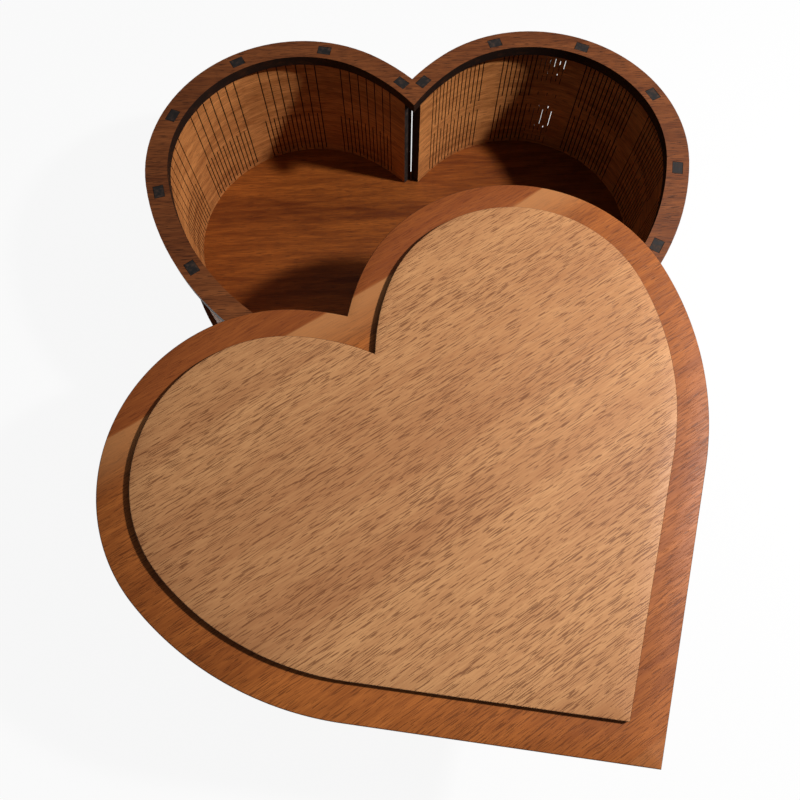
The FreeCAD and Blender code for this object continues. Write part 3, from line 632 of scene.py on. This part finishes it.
class NodeGraph:
    """Adds and joins shader nodes in one tree."""

    def __init__(self, tree: bpy.types.NodeTree) -> None:
        """Work on one node tree."""
        self.tree = tree

    def node(self, kind: str, **settings: object) -> bpy.types.Node:
        """New node.

        Args:
            kind: the node's type.
            settings: attributes to set on it.
        Returns:
            The node.
        """
        made = self.tree.nodes.new(kind)
        for name, value in settings.items():
            setattr(made, name, value)
        return made

    def join(self, source: bpy.types.NodeSocket, target: bpy.types.NodeSocket) -> None:
        """Link an output to an input."""
        self.tree.links.new(source, target)

    def feed(self, socket: bpy.types.NodeSocket, value: object) -> None:
        """Give an input a link or a constant.

        Args:
            socket: the input.
            value: an output to link, or the constant.
        """
        if isinstance(value, bpy.types.NodeSocket):
            self.join(value, socket)
        else:
            socket.default_value = value

    def math(self, operation: str, first: object, second: object = 0.0) -> bpy.types.NodeSocket:
        """Sum, product or other operation on two values.

        Args:
            operation: the Math node's operation.
            first, second: outputs or constants.
        Returns:
            The result's socket.
        """
        made = self.node("ShaderNodeMath", operation=operation)
        self.feed(made.inputs[0], first)
        self.feed(made.inputs[1], second)
        return made.outputs[0]

    def mix(self, share: object, first: object, second: object, blend: str = "MIX") -> bpy.types.NodeSocket:
        """Blend of two colours.

        Args:
            share: how much of the second colour.
            first, second: outputs or constants.
            blend: the way they are blended.
        Returns:
            The result's socket.
        """
        made = self.node("ShaderNodeMix", data_type="RGBA", blend_type=blend)
        self.feed(made.inputs[0], share)
        self.feed(made.inputs[6], first)
        self.feed(made.inputs[7], second)
        return made.outputs[2]

    def noise(self, vector: object, scale: Triple, detail: float, distortion: float = 0.0) -> bpy.types.NodeSocket:
        """Noise stretched by its own scale along each axis.

        Args:
            vector: where it is looked up.
            scale: cells per metre along each axis.
            detail: how many finer layers it has.
            distortion: how far it wanders.
        Returns:
            Its value's socket.
        """
        stretch = self.node("ShaderNodeVectorMath", operation="MULTIPLY")
        self.feed(stretch.inputs[0], vector)
        stretch.inputs[1].default_value = scale
        made = self.node("ShaderNodeTexNoise")
        self.join(stretch.outputs[0], made.inputs["Vector"])
        made.inputs["Scale"].default_value = 1.0
        made.inputs["Detail"].default_value = detail
        made.inputs["Distortion"].default_value = distortion
        return made.outputs["Fac"]

    def ramp(self, value: object, low: float, high: float, start: float = 0.0,
             end: float = 1.0) -> bpy.types.NodeSocket:
        """Smooth change from one value to another.

        Args:
            value: the input.
            low, high: where the change begins and ends.
            start, end: the values before and after.
        Returns:
            The result's socket.
        """
        made = self.node("ShaderNodeMapRange", interpolation_type="SMOOTHSTEP")
        for socket, number in zip(made.inputs[1:5], (low, high, start, end)):
            socket.default_value = number
        self.feed(made.inputs[0], value)
        return made.outputs[0]


def new_group(name: str, inputs: dict[str, str],
              outputs: dict[str, str]) -> tuple[NodeGraph, bpy.types.Node, bpy.types.Node]:
    """Empty shader group with named sockets.

    Args:
        name: the group's name.
        inputs: socket type by input name.
        outputs: socket type by output name.
    Returns:
        The group's graph, its input node and its output node.
    """
    tree = bpy.data.node_groups.new(name, "ShaderNodeTree")
    for way, sockets in (("INPUT", inputs), ("OUTPUT", outputs)):
        for label, kind in sockets.items():
            tree.interface.new_socket(label, in_out=way, socket_type=f"NodeSocket{kind}")
    graph = NodeGraph(tree)
    return graph, graph.node("NodeGroupInput"), graph.node("NodeGroupOutput")


def grain_group() -> bpy.types.NodeTree:
    """Open-pored hardwood with its fibres along the vector's first axis.

    Returns:
        The group, which gives colour, height and roughness.
    """
    graph, given, out = new_group(
        "hardwood_grain",
        {"Vector": "Vector", "Light": "Color", "Dark": "Color", "Pore": "Color", "Figure": "Float",
         "Streak": "Float", "Pores": "Float"},
        {"Color": "Color", "Height": "Float", "Roughness": "Float"},
    )
    vector = given.outputs["Vector"]
    figure = graph.noise(vector, (6.0, 42.0, 42.0), 3.0, 0.6)
    streak = graph.noise(vector, (60.0, 560.0, 560.0), 4.0, 0.4)
    fibre = graph.noise(vector, (170.0, 3400.0, 3400.0), 2.0)
    pore_field = graph.noise(vector, (320.0, 5300.0, 5300.0), 0.0, 0.3)
    crowding = graph.noise(vector, (18.0, 90.0, 90.0), 0.5)
    tone = graph.math("ADD", graph.math("MULTIPLY", graph.ramp(figure, 0.3, 0.7), given.outputs["Figure"]),
                      graph.math("MULTIPLY", graph.ramp(streak, 0.3, 0.72), given.outputs["Streak"]))
    ground = graph.mix(tone, given.outputs["Light"], given.outputs["Dark"])
    fibred = graph.mix(graph.ramp(fibre, 0.3, 0.7, 0.0, 0.4), ground, given.outputs["Dark"])
    level = graph.ramp(crowding, 0.3, 0.7, 0.62, 0.56)
    pores = graph.ramp(graph.math("SUBTRACT", pore_field, level), 0.0, 0.06)
    mask = graph.math("MULTIPLY", pores, given.outputs["Pores"])
    graph.join(graph.mix(mask, fibred, given.outputs["Pore"]), out.inputs["Color"])
    height = graph.math("SUBTRACT", graph.math("MULTIPLY", fibre, 0.45), pores)
    graph.join(height, out.inputs["Height"])
    graph.join(graph.math("ADD", graph.math("MULTIPLY", fibre, 0.16), 0.42), out.inputs["Roughness"])
    return graph.tree


def char_group() -> bpy.types.NodeTree:
    """Soot on the cut edges of a flat plate.

    Returns:
        The group, whose mask is 1 where the surface stands upright.
    """
    graph, given, out = new_group("charred_edge", {"Normal": "Vector", "Vector": "Vector"}, {"Mask": "Float"})
    split = graph.node("ShaderNodeSeparateXYZ")
    graph.join(given.outputs["Normal"], split.inputs[0])
    upright = graph.ramp(graph.math("ABSOLUTE", split.outputs["Z"]), 0.95, 0.6)
    patch = graph.noise(given.outputs["Vector"], (320.0, 320.0, 900.0), 3.0)
    graph.join(graph.math("MULTIPLY", upright, graph.ramp(patch, 0.2, 0.5, 0.82, 1.0)), out.inputs["Mask"])
    return graph.tree


def metal_group() -> bpy.types.NodeTree:
    """Worn turned metal: a cloudy tarnish and fine scratches.

    Returns:
        The group, which gives colour, roughness and height.
    """
    graph, given, out = new_group(
        "worn_metal",
        {"Vector": "Vector", "Bright": "Color", "Tarnish": "Color", "Smooth": "Float"},
        {"Color": "Color", "Roughness": "Float", "Height": "Float"},
    )
    cloud = graph.noise(given.outputs["Vector"], (160.0, 160.0, 160.0), 5.0, 0.5)
    scratch = graph.noise(given.outputs["Vector"], (500.0, 500.0, 6000.0), 3.0)
    share = graph.ramp(cloud, 0.42, 0.75, 0.0, 0.75)
    graph.join(graph.mix(share, given.outputs["Bright"], given.outputs["Tarnish"]), out.inputs["Color"])
    rough = graph.math("ADD", given.outputs["Smooth"], graph.math("MULTIPLY", scratch, 0.16))
    graph.join(graph.math("ADD", rough, graph.math("MULTIPLY", share, 0.12)), out.inputs["Roughness"])
    graph.join(scratch, out.inputs["Height"])
    return graph.tree


@dataclass(frozen=True)
class LidBand:
    """A paler stretch of veneer that starts at a straight joint across the lid."""

    joint: float = 30.2 * MM
    fade: float = 14.0 * MM
    pale: Display = (198, 134, 82)
    above: Display = (132, 62, 30)
    tip: float = -91.5 * MM


@dataclass(frozen=True)
class WoodFinish:
    """An oiled hardwood surface."""

    name: str
    light: Display
    dark: Display
    pore: Display
    grain: Grain = Grain.ACROSS
    figure: float = 0.6
    streak: float = 0.4
    pores: float = 0.75
    origin: Triple = (0.0, 0.0, 0.0)
    charred: bool = True
    band: LidBand | None = None
    bump: float = 0.25

    def build(self, groups: Groups) -> bpy.types.Material:
        """The finish as a material.

        Args:
            groups: the shared shader groups by name.
        Returns:
            A procedural material on Object coordinates.
        """
        material = bpy.data.materials.new(self.name)
        material.use_nodes = True
        graph = NodeGraph(material.node_tree)
        shader = material.node_tree.nodes["Principled BSDF"]
        where = graph.node("ShaderNodeTexCoord")
        turn = graph.node("ShaderNodeMapping", vector_type="TEXTURE")
        turn.inputs["Location"].default_value = self.origin
        if self.grain is Grain.BENT:
            sheet = graph.node("ShaderNodeAttribute", attribute_name="grain")
            graph.join(sheet.outputs["Vector"], turn.inputs["Vector"])
        else:
            turn.inputs["Rotation"].default_value = (0.0, 0.0, math.radians(self.grain.value))
            graph.join(where.outputs["Object"], turn.inputs["Vector"])
        wood = graph.node("ShaderNodeGroup", node_tree=groups["grain"])
        graph.join(turn.outputs[0], wood.inputs["Vector"])
        for socket, colour in (("Light", self.light), ("Dark", self.dark), ("Pore", self.pore)):
            wood.inputs[socket].default_value = linear(*colour)
        wood.inputs["Figure"].default_value = self.figure
        wood.inputs["Streak"].default_value = self.streak
        wood.inputs["Pores"].default_value = self.pores
        colour = wood.outputs["Color"]
        if self.band:
            colour = self.add_band(graph, turn.outputs[0], colour)
        if self.charred:
            char = graph.node("ShaderNodeGroup", node_tree=groups["char"])
            graph.join(where.outputs["Normal"], char.inputs["Normal"])
            graph.join(where.outputs["Object"], char.inputs["Vector"])
            colour = graph.mix(char.outputs["Mask"], colour, linear(30, 19, 14))
        graph.join(colour, shader.inputs["Base Color"])
        graph.join(wood.outputs["Roughness"], shader.inputs["Roughness"])
        shader.inputs["Specular IOR Level"].default_value = 0.25
        bump = graph.node("ShaderNodeBump")
        bump.inputs["Strength"].default_value = self.bump
        bump.inputs["Distance"].default_value = 0.0002
        graph.join(wood.outputs["Height"], bump.inputs["Height"])
        graph.join(bump.outputs[0], shader.inputs["Normal"])
        return material

    def add_band(self, graph: NodeGraph, vector: bpy.types.NodeSocket,
                 colour: bpy.types.NodeSocket) -> bpy.types.NodeSocket:
        """Tone the veneer by its distance from the joint across the lid.

        Args:
            graph: the material's nodes.
            vector: place in the lid's own axes.
            colour: the wood before toning.
        Returns:
            The toned colour.
        """
        split = graph.node("ShaderNodeSeparateXYZ")
        graph.join(vector, split.inputs[0])
        wander = graph.noise(vector, (40.0, 420.0, 420.0), 3.0)
        across = graph.math("ADD", split.outputs["Y"], graph.math("MULTIPLY", wander, 0.0016))
        above = graph.ramp(across, self.band.joint, self.band.joint + 0.0008)
        near = graph.ramp(across, self.band.joint - self.band.fade, self.band.joint)
        pale = graph.math("MULTIPLY", near, graph.math("SUBTRACT", 1.0, above))
        tip = graph.ramp(across, self.band.tip, self.band.tip - 0.001)
        share = graph.math("MAXIMUM", graph.math("MULTIPLY", pale, 0.75), graph.math("MULTIPLY", tip, 0.2))
        toned = graph.mix(share, colour, linear(*self.band.pale))
        return graph.mix(graph.math("MULTIPLY", above, 0.5), toned, linear(*self.band.above))


@dataclass(frozen=True)
class CharFinish:
    """Laser-burnt end grain: near black, dull, with a fine crackle."""

    name: str = "laser_char"

    def build(self) -> bpy.types.Material:
        """The finish as a material.

        Returns:
            A procedural material on Object coordinates.
        """
        material = bpy.data.materials.new(self.name)
        material.use_nodes = True
        graph = NodeGraph(material.node_tree)
        shader = material.node_tree.nodes["Principled BSDF"]
        where = graph.node("ShaderNodeTexCoord")
        crackle = graph.noise(where.outputs["Object"], (900.0, 900.0, 900.0), 4.0)
        colour = graph.mix(graph.ramp(crackle, 0.45, 0.75), linear(24, 17, 14), linear(66, 46, 34))
        graph.join(colour, shader.inputs["Base Color"])
        graph.join(graph.ramp(crackle, 0.3, 0.7, 0.62, 0.9), shader.inputs["Roughness"])
        bump = graph.node("ShaderNodeBump")
        bump.inputs["Strength"].default_value = 0.4
        bump.inputs["Distance"].default_value = 0.0002
        graph.join(crackle, bump.inputs["Height"])
        graph.join(bump.outputs[0], shader.inputs["Normal"])
        return material


@dataclass(frozen=True)
class MetalFinish:
    """A metal of the movement."""

    name: str
    bright: Display
    tarnish: Display
    smooth: float

    def build(self, groups: Groups) -> bpy.types.Material:
        """The finish as a material.

        Args:
            groups: the shared shader groups by name.
        Returns:
            A procedural material on Object coordinates.
        """
        material = bpy.data.materials.new(self.name)
        material.use_nodes = True
        graph = NodeGraph(material.node_tree)
        shader = material.node_tree.nodes["Principled BSDF"]
        where = graph.node("ShaderNodeTexCoord")
        metal = graph.node("ShaderNodeGroup", node_tree=groups["metal"])
        graph.join(where.outputs["Object"], metal.inputs["Vector"])
        metal.inputs["Bright"].default_value = linear(*self.bright)
        metal.inputs["Tarnish"].default_value = linear(*self.tarnish)
        metal.inputs["Smooth"].default_value = self.smooth
        graph.join(metal.outputs["Color"], shader.inputs["Base Color"])
        graph.join(metal.outputs["Roughness"], shader.inputs["Roughness"])
        shader.inputs["Metallic"].default_value = 1.0
        bump = graph.node("ShaderNodeBump")
        bump.inputs["Strength"].default_value = 0.08
        bump.inputs["Distance"].default_value = 0.0001
        graph.join(metal.outputs["Height"], bump.inputs["Height"])
        graph.join(bump.outputs[0], shader.inputs["Normal"])
        return material


# Sub-assemblies


def dress(obj: bpy.types.Object, *materials: bpy.types.Material) -> None:
    """Give an object its materials; a new mesh keeps the slot numbers of its faces.

    Args:
        obj: the object.
        materials: one for each slot.
    """
    if obj.data.materials:
        obj.data.materials.clear()
    for material in materials:
        obj.data.materials.append(material)


@dataclass
class Case:
    """Base, walls and rim."""

    outline: HeartOutline
    groups: Groups
    holes: tuple[WallHole, ...] = (
        WallHole(47.54 * MM, 15.5 * MM, 3.5 * MM, 4.5 * MM),
        WallHole(53.54 * MM, 31.0 * MM, 1.35 * MM, 2.0 * MM),
        WallHole(32.74 * MM, 8.5 * MM, 1.35 * MM, 2.0 * MM),
        WallHole(10.34 * MM, 8.5 * MM, 1.35 * MM, 2.0 * MM),
    )

    def build(self) -> list[bpy.types.Object]:
        """Build the walls and dress every wooden piece of the case.

        Returns:
            The two walls.
        """
        rim = WoodFinish("rim_wood", (146, 84, 44), (86, 40, 17), (38, 16, 8), figure=0.4, streak=0.4, pores=0.65)
        base = WoodFinish("base_wood", (172, 94, 34), (92, 38, 9), (54, 22, 8), figure=0.55, streak=0.45, pores=0.4,
                          origin=(0.11, 0.4, 0.0))
        wall = WoodFinish("wall_wood", (227, 152, 87), (130, 70, 31), (76, 36, 15), Grain.BENT, 0.3, 0.5, 0.45,
                          (0.3, 0.1, 0.2), charred=False)
        dress(frame["nodes"]["rim_plate"], rim.build(self.groups))
        dress(frame["nodes"]["base_plate"], base.build(self.groups))
        wall_material, char = wall.build(self.groups), CharFinish().build()
        made = []
        half_cut = KerfPattern(staggered=((0.0, 18.0),))
        full_cut = KerfPattern(staggered=((0.0, 18.0), (22.0, 40.0)), clear_group=1)
        for wall_piece in (Wall("wall_left", -1.0, self.outline, half_cut),
                           Wall("wall_right", 1.0, self.outline, full_cut, self.holes)):
            obj = wall_piece.build()
            dress(obj, wall_material, char)
            made.append(obj)
        return made


@dataclass
class Lid:
    """Lid panel and the plug that drops into the rim."""

    outline: HeartOutline
    groups: Groups
    plug_margin: float = 8.2 * MM

    def build(self) -> list[bpy.types.Object]:
        """Build and dress both plates.

        Returns:
            The panel and the plug.
        """
        lies_at = (-8.4 * MM, -75.8 * MM, 0.0)
        panel = WoodFinish("panel_wood", (197, 115, 53), (124, 59, 21), (70, 30, 11), Grain.LID, 0.4, 0.35, 0.5,
                           lies_at, band=LidBand())
        plug = WoodFinish("plug_wood", (222, 163, 109), (168, 106, 65), (104, 56, 30), Grain.LID, 0.45, 0.25, 0.65,
                          lies_at)
        made = []
        for node, margin, finish in (("lid_panel", 0.0, panel), ("lid_plug", self.plug_margin, plug)):
            obj = LidPlate(node, self.outline, margin).build()
            dress(obj, finish.build(self.groups))
            made.append(obj)
        return made


@dataclass
class Movement:
    """The metal pieces of the wind-up movement."""

    groups: Groups

    def build(self) -> None:
        """Dress every metal node by the slot the record gives it."""
        finishes = {
            "brass": MetalFinish("movement_brass", (226, 186, 104), (150, 112, 56), 0.2),
            "steel": MetalFinish("movement_steel", (196, 198, 202), (140, 140, 144), 0.24),
            "zinc": MetalFinish("cast_zinc", (178, 174, 166), (128, 124, 118), 0.38),
        }
        made = {slot: finish.build(self.groups) for slot, finish in finishes.items()}
        for row in frame["record"]["subparts"]:
            if row["material_slot"] in made:
                dress(frame["nodes"][row["node"]], made[row["material_slot"]])


@dataclass
class Studio:
    """Floor, light and the camera of the photograph."""

    camera_place: Triple = (-11.60 * MM, -130.54 * MM, 203.54 * MM)
    azimuth: float = -2.62
    elevation: float = 70.79
    roll: float = -0.46
    focal_pixels: float = 666.73
    frame_pixels: float = 800.0
    sensor: float = 36.0
    floor_half: float = 4.0
    key_from: Triple = (0.3, -0.06, 0.315)
    key_power: float = 1.85
    key_size: float = 0.03
    sheen_from: Triple = (0.3, 0.2, 0.42)
    sheen_power: float = 0.2
    sheen_size: float = 0.25
    world_strength: float = 0.1

    def build(self) -> None:
        """Make everything that isn't part of the object."""
        self.add_floor()
        self.add_lamp("key_light", self.key_from, self.key_power, self.key_size)
        self.add_lamp("sheen_light", self.sheen_from, self.sheen_power, self.sheen_size)
        self.add_world()
        self.add_camera()
        bpy.context.scene.view_settings.view_transform = "Standard"

    def add_floor(self) -> None:
        """Pale floor under the box, white to the camera and to reflections, with soft shadows close by."""
        half = self.floor_half
        corners = np.array([[-half, -half, 0], [half, -half, 0], [half, half, 0], [-half, half, 0]])
        floor = add_mesh("floor", corners - np.array([0, 0, 0.0002]), [[0, 1, 2, 3]])
        material = bpy.data.materials.new("pale_floor")
        material.use_nodes = True
        graph = NodeGraph(material.node_tree)
        shader = material.node_tree.nodes["Principled BSDF"]
        shader.inputs["Base Color"].default_value = (0.82, 0.82, 0.82, 1.0)
        shader.inputs["Roughness"].default_value = 0.9
        glow = graph.node("ShaderNodeEmission")
        glow.inputs["Strength"].default_value = 1.0
        rays = graph.node("ShaderNodeLightPath")
        seen = graph.math("MAXIMUM", rays.outputs["Is Camera Ray"], rays.outputs["Is Glossy Ray"])
        seen = graph.math("MAXIMUM", seen, rays.outputs["Is Transmission Ray"])
        where = graph.node("ShaderNodeTexCoord")
        reach = graph.node("ShaderNodeVectorMath", operation="LENGTH")
        graph.join(where.outputs["Object"], reach.inputs[0])
        share = graph.ramp(reach.outputs["Value"], 0.15, 0.5, 0.92, 1.0)
        blend = graph.node("ShaderNodeMixShader")
        graph.join(graph.math("MULTIPLY", seen, share), blend.inputs[0])
        graph.join(shader.outputs[0], blend.inputs[1])
        graph.join(glow.outputs[0], blend.inputs[2])
        graph.join(blend.outputs[0], material.node_tree.nodes["Material Output"].inputs["Surface"])
        dress(floor, material)

    def add_lamp(self, name: str, place: Triple, power: float, size: float) -> None:
        """Square area lamp aimed at the middle of the box.

        Args:
            name: the lamp's name.
            place: where it hangs.
            power: its power in watts.
            size: the length of its side.
        """
        data = bpy.data.lights.new(name, "AREA")
        data.energy, data.size = power, size
        lamp = bpy.data.objects.new(name, data)
        aim = Vector((0.0, -0.05, 0.03))
        lamp.location = place
        lamp.rotation_euler = (aim - Vector(place)).to_track_quat("-Z", "Y").to_euler()
        bpy.context.scene.collection.objects.link(lamp)

    def add_world(self) -> None:
        """Even white surroundings: full white to the camera, dimmer as light."""
        world = bpy.data.worlds.new("studio")
        world.use_nodes = True
        bpy.context.scene.world = world
        graph = NodeGraph(world.node_tree)
        back = world.node_tree.nodes["Background"]
        back.inputs["Color"].default_value = (1.0, 1.0, 1.0, 1.0)
        rays = graph.node("ShaderNodeLightPath")
        seen = graph.math("MAXIMUM", rays.outputs["Is Camera Ray"], rays.outputs["Is Transmission Ray"])
        rest = 1.0 - self.world_strength
        graph.join(graph.math("ADD", graph.math("MULTIPLY", seen, rest), self.world_strength),
                   back.inputs["Strength"])

    def add_camera(self) -> None:
        """Camera where the photograph was taken from."""
        a, e, r = (math.radians(x) for x in (self.azimuth, self.elevation, self.roll))
        back = Vector((math.sin(a) * math.cos(e), -math.cos(a) * math.cos(e), math.sin(e)))
        right = (-back).cross(Vector((0, 0, 1))).normalized()
        up = right.cross(-back)
        x_axis = right * math.cos(r) + up * math.sin(r)
        y_axis = up * math.cos(r) - right * math.sin(r)
        data = bpy.data.cameras.new("photo_camera")
        data.sensor_width = self.sensor
        data.lens = self.focal_pixels / self.frame_pixels * self.sensor
        data.clip_start, data.clip_end = 0.005, 50.0
        camera = bpy.data.objects.new("photo_camera", data)
        turn = Matrix((x_axis, y_axis, back)).transposed().to_4x4()
        camera.matrix_world = Matrix.Translation(self.camera_place) @ turn
        bpy.context.scene.collection.objects.link(camera)
        bpy.context.scene.camera = camera


def main() -> None:
    """Build the pieces in order and report each one."""
    logging.basicConfig(level=logging.INFO, format="%(message)s")
    outline = HeartOutline()
    groups = {"grain": grain_group(), "char": char_group(), "metal": metal_group()}
    for assembly in (Case(outline, groups), Lid(outline, groups)):
        for obj in assembly.build():
            LOG.info("%s: %d faces", obj.name, len(obj.data.polygons))
    Movement(groups).build()
    Studio().build()


if __name__ == "__main__":
    main()
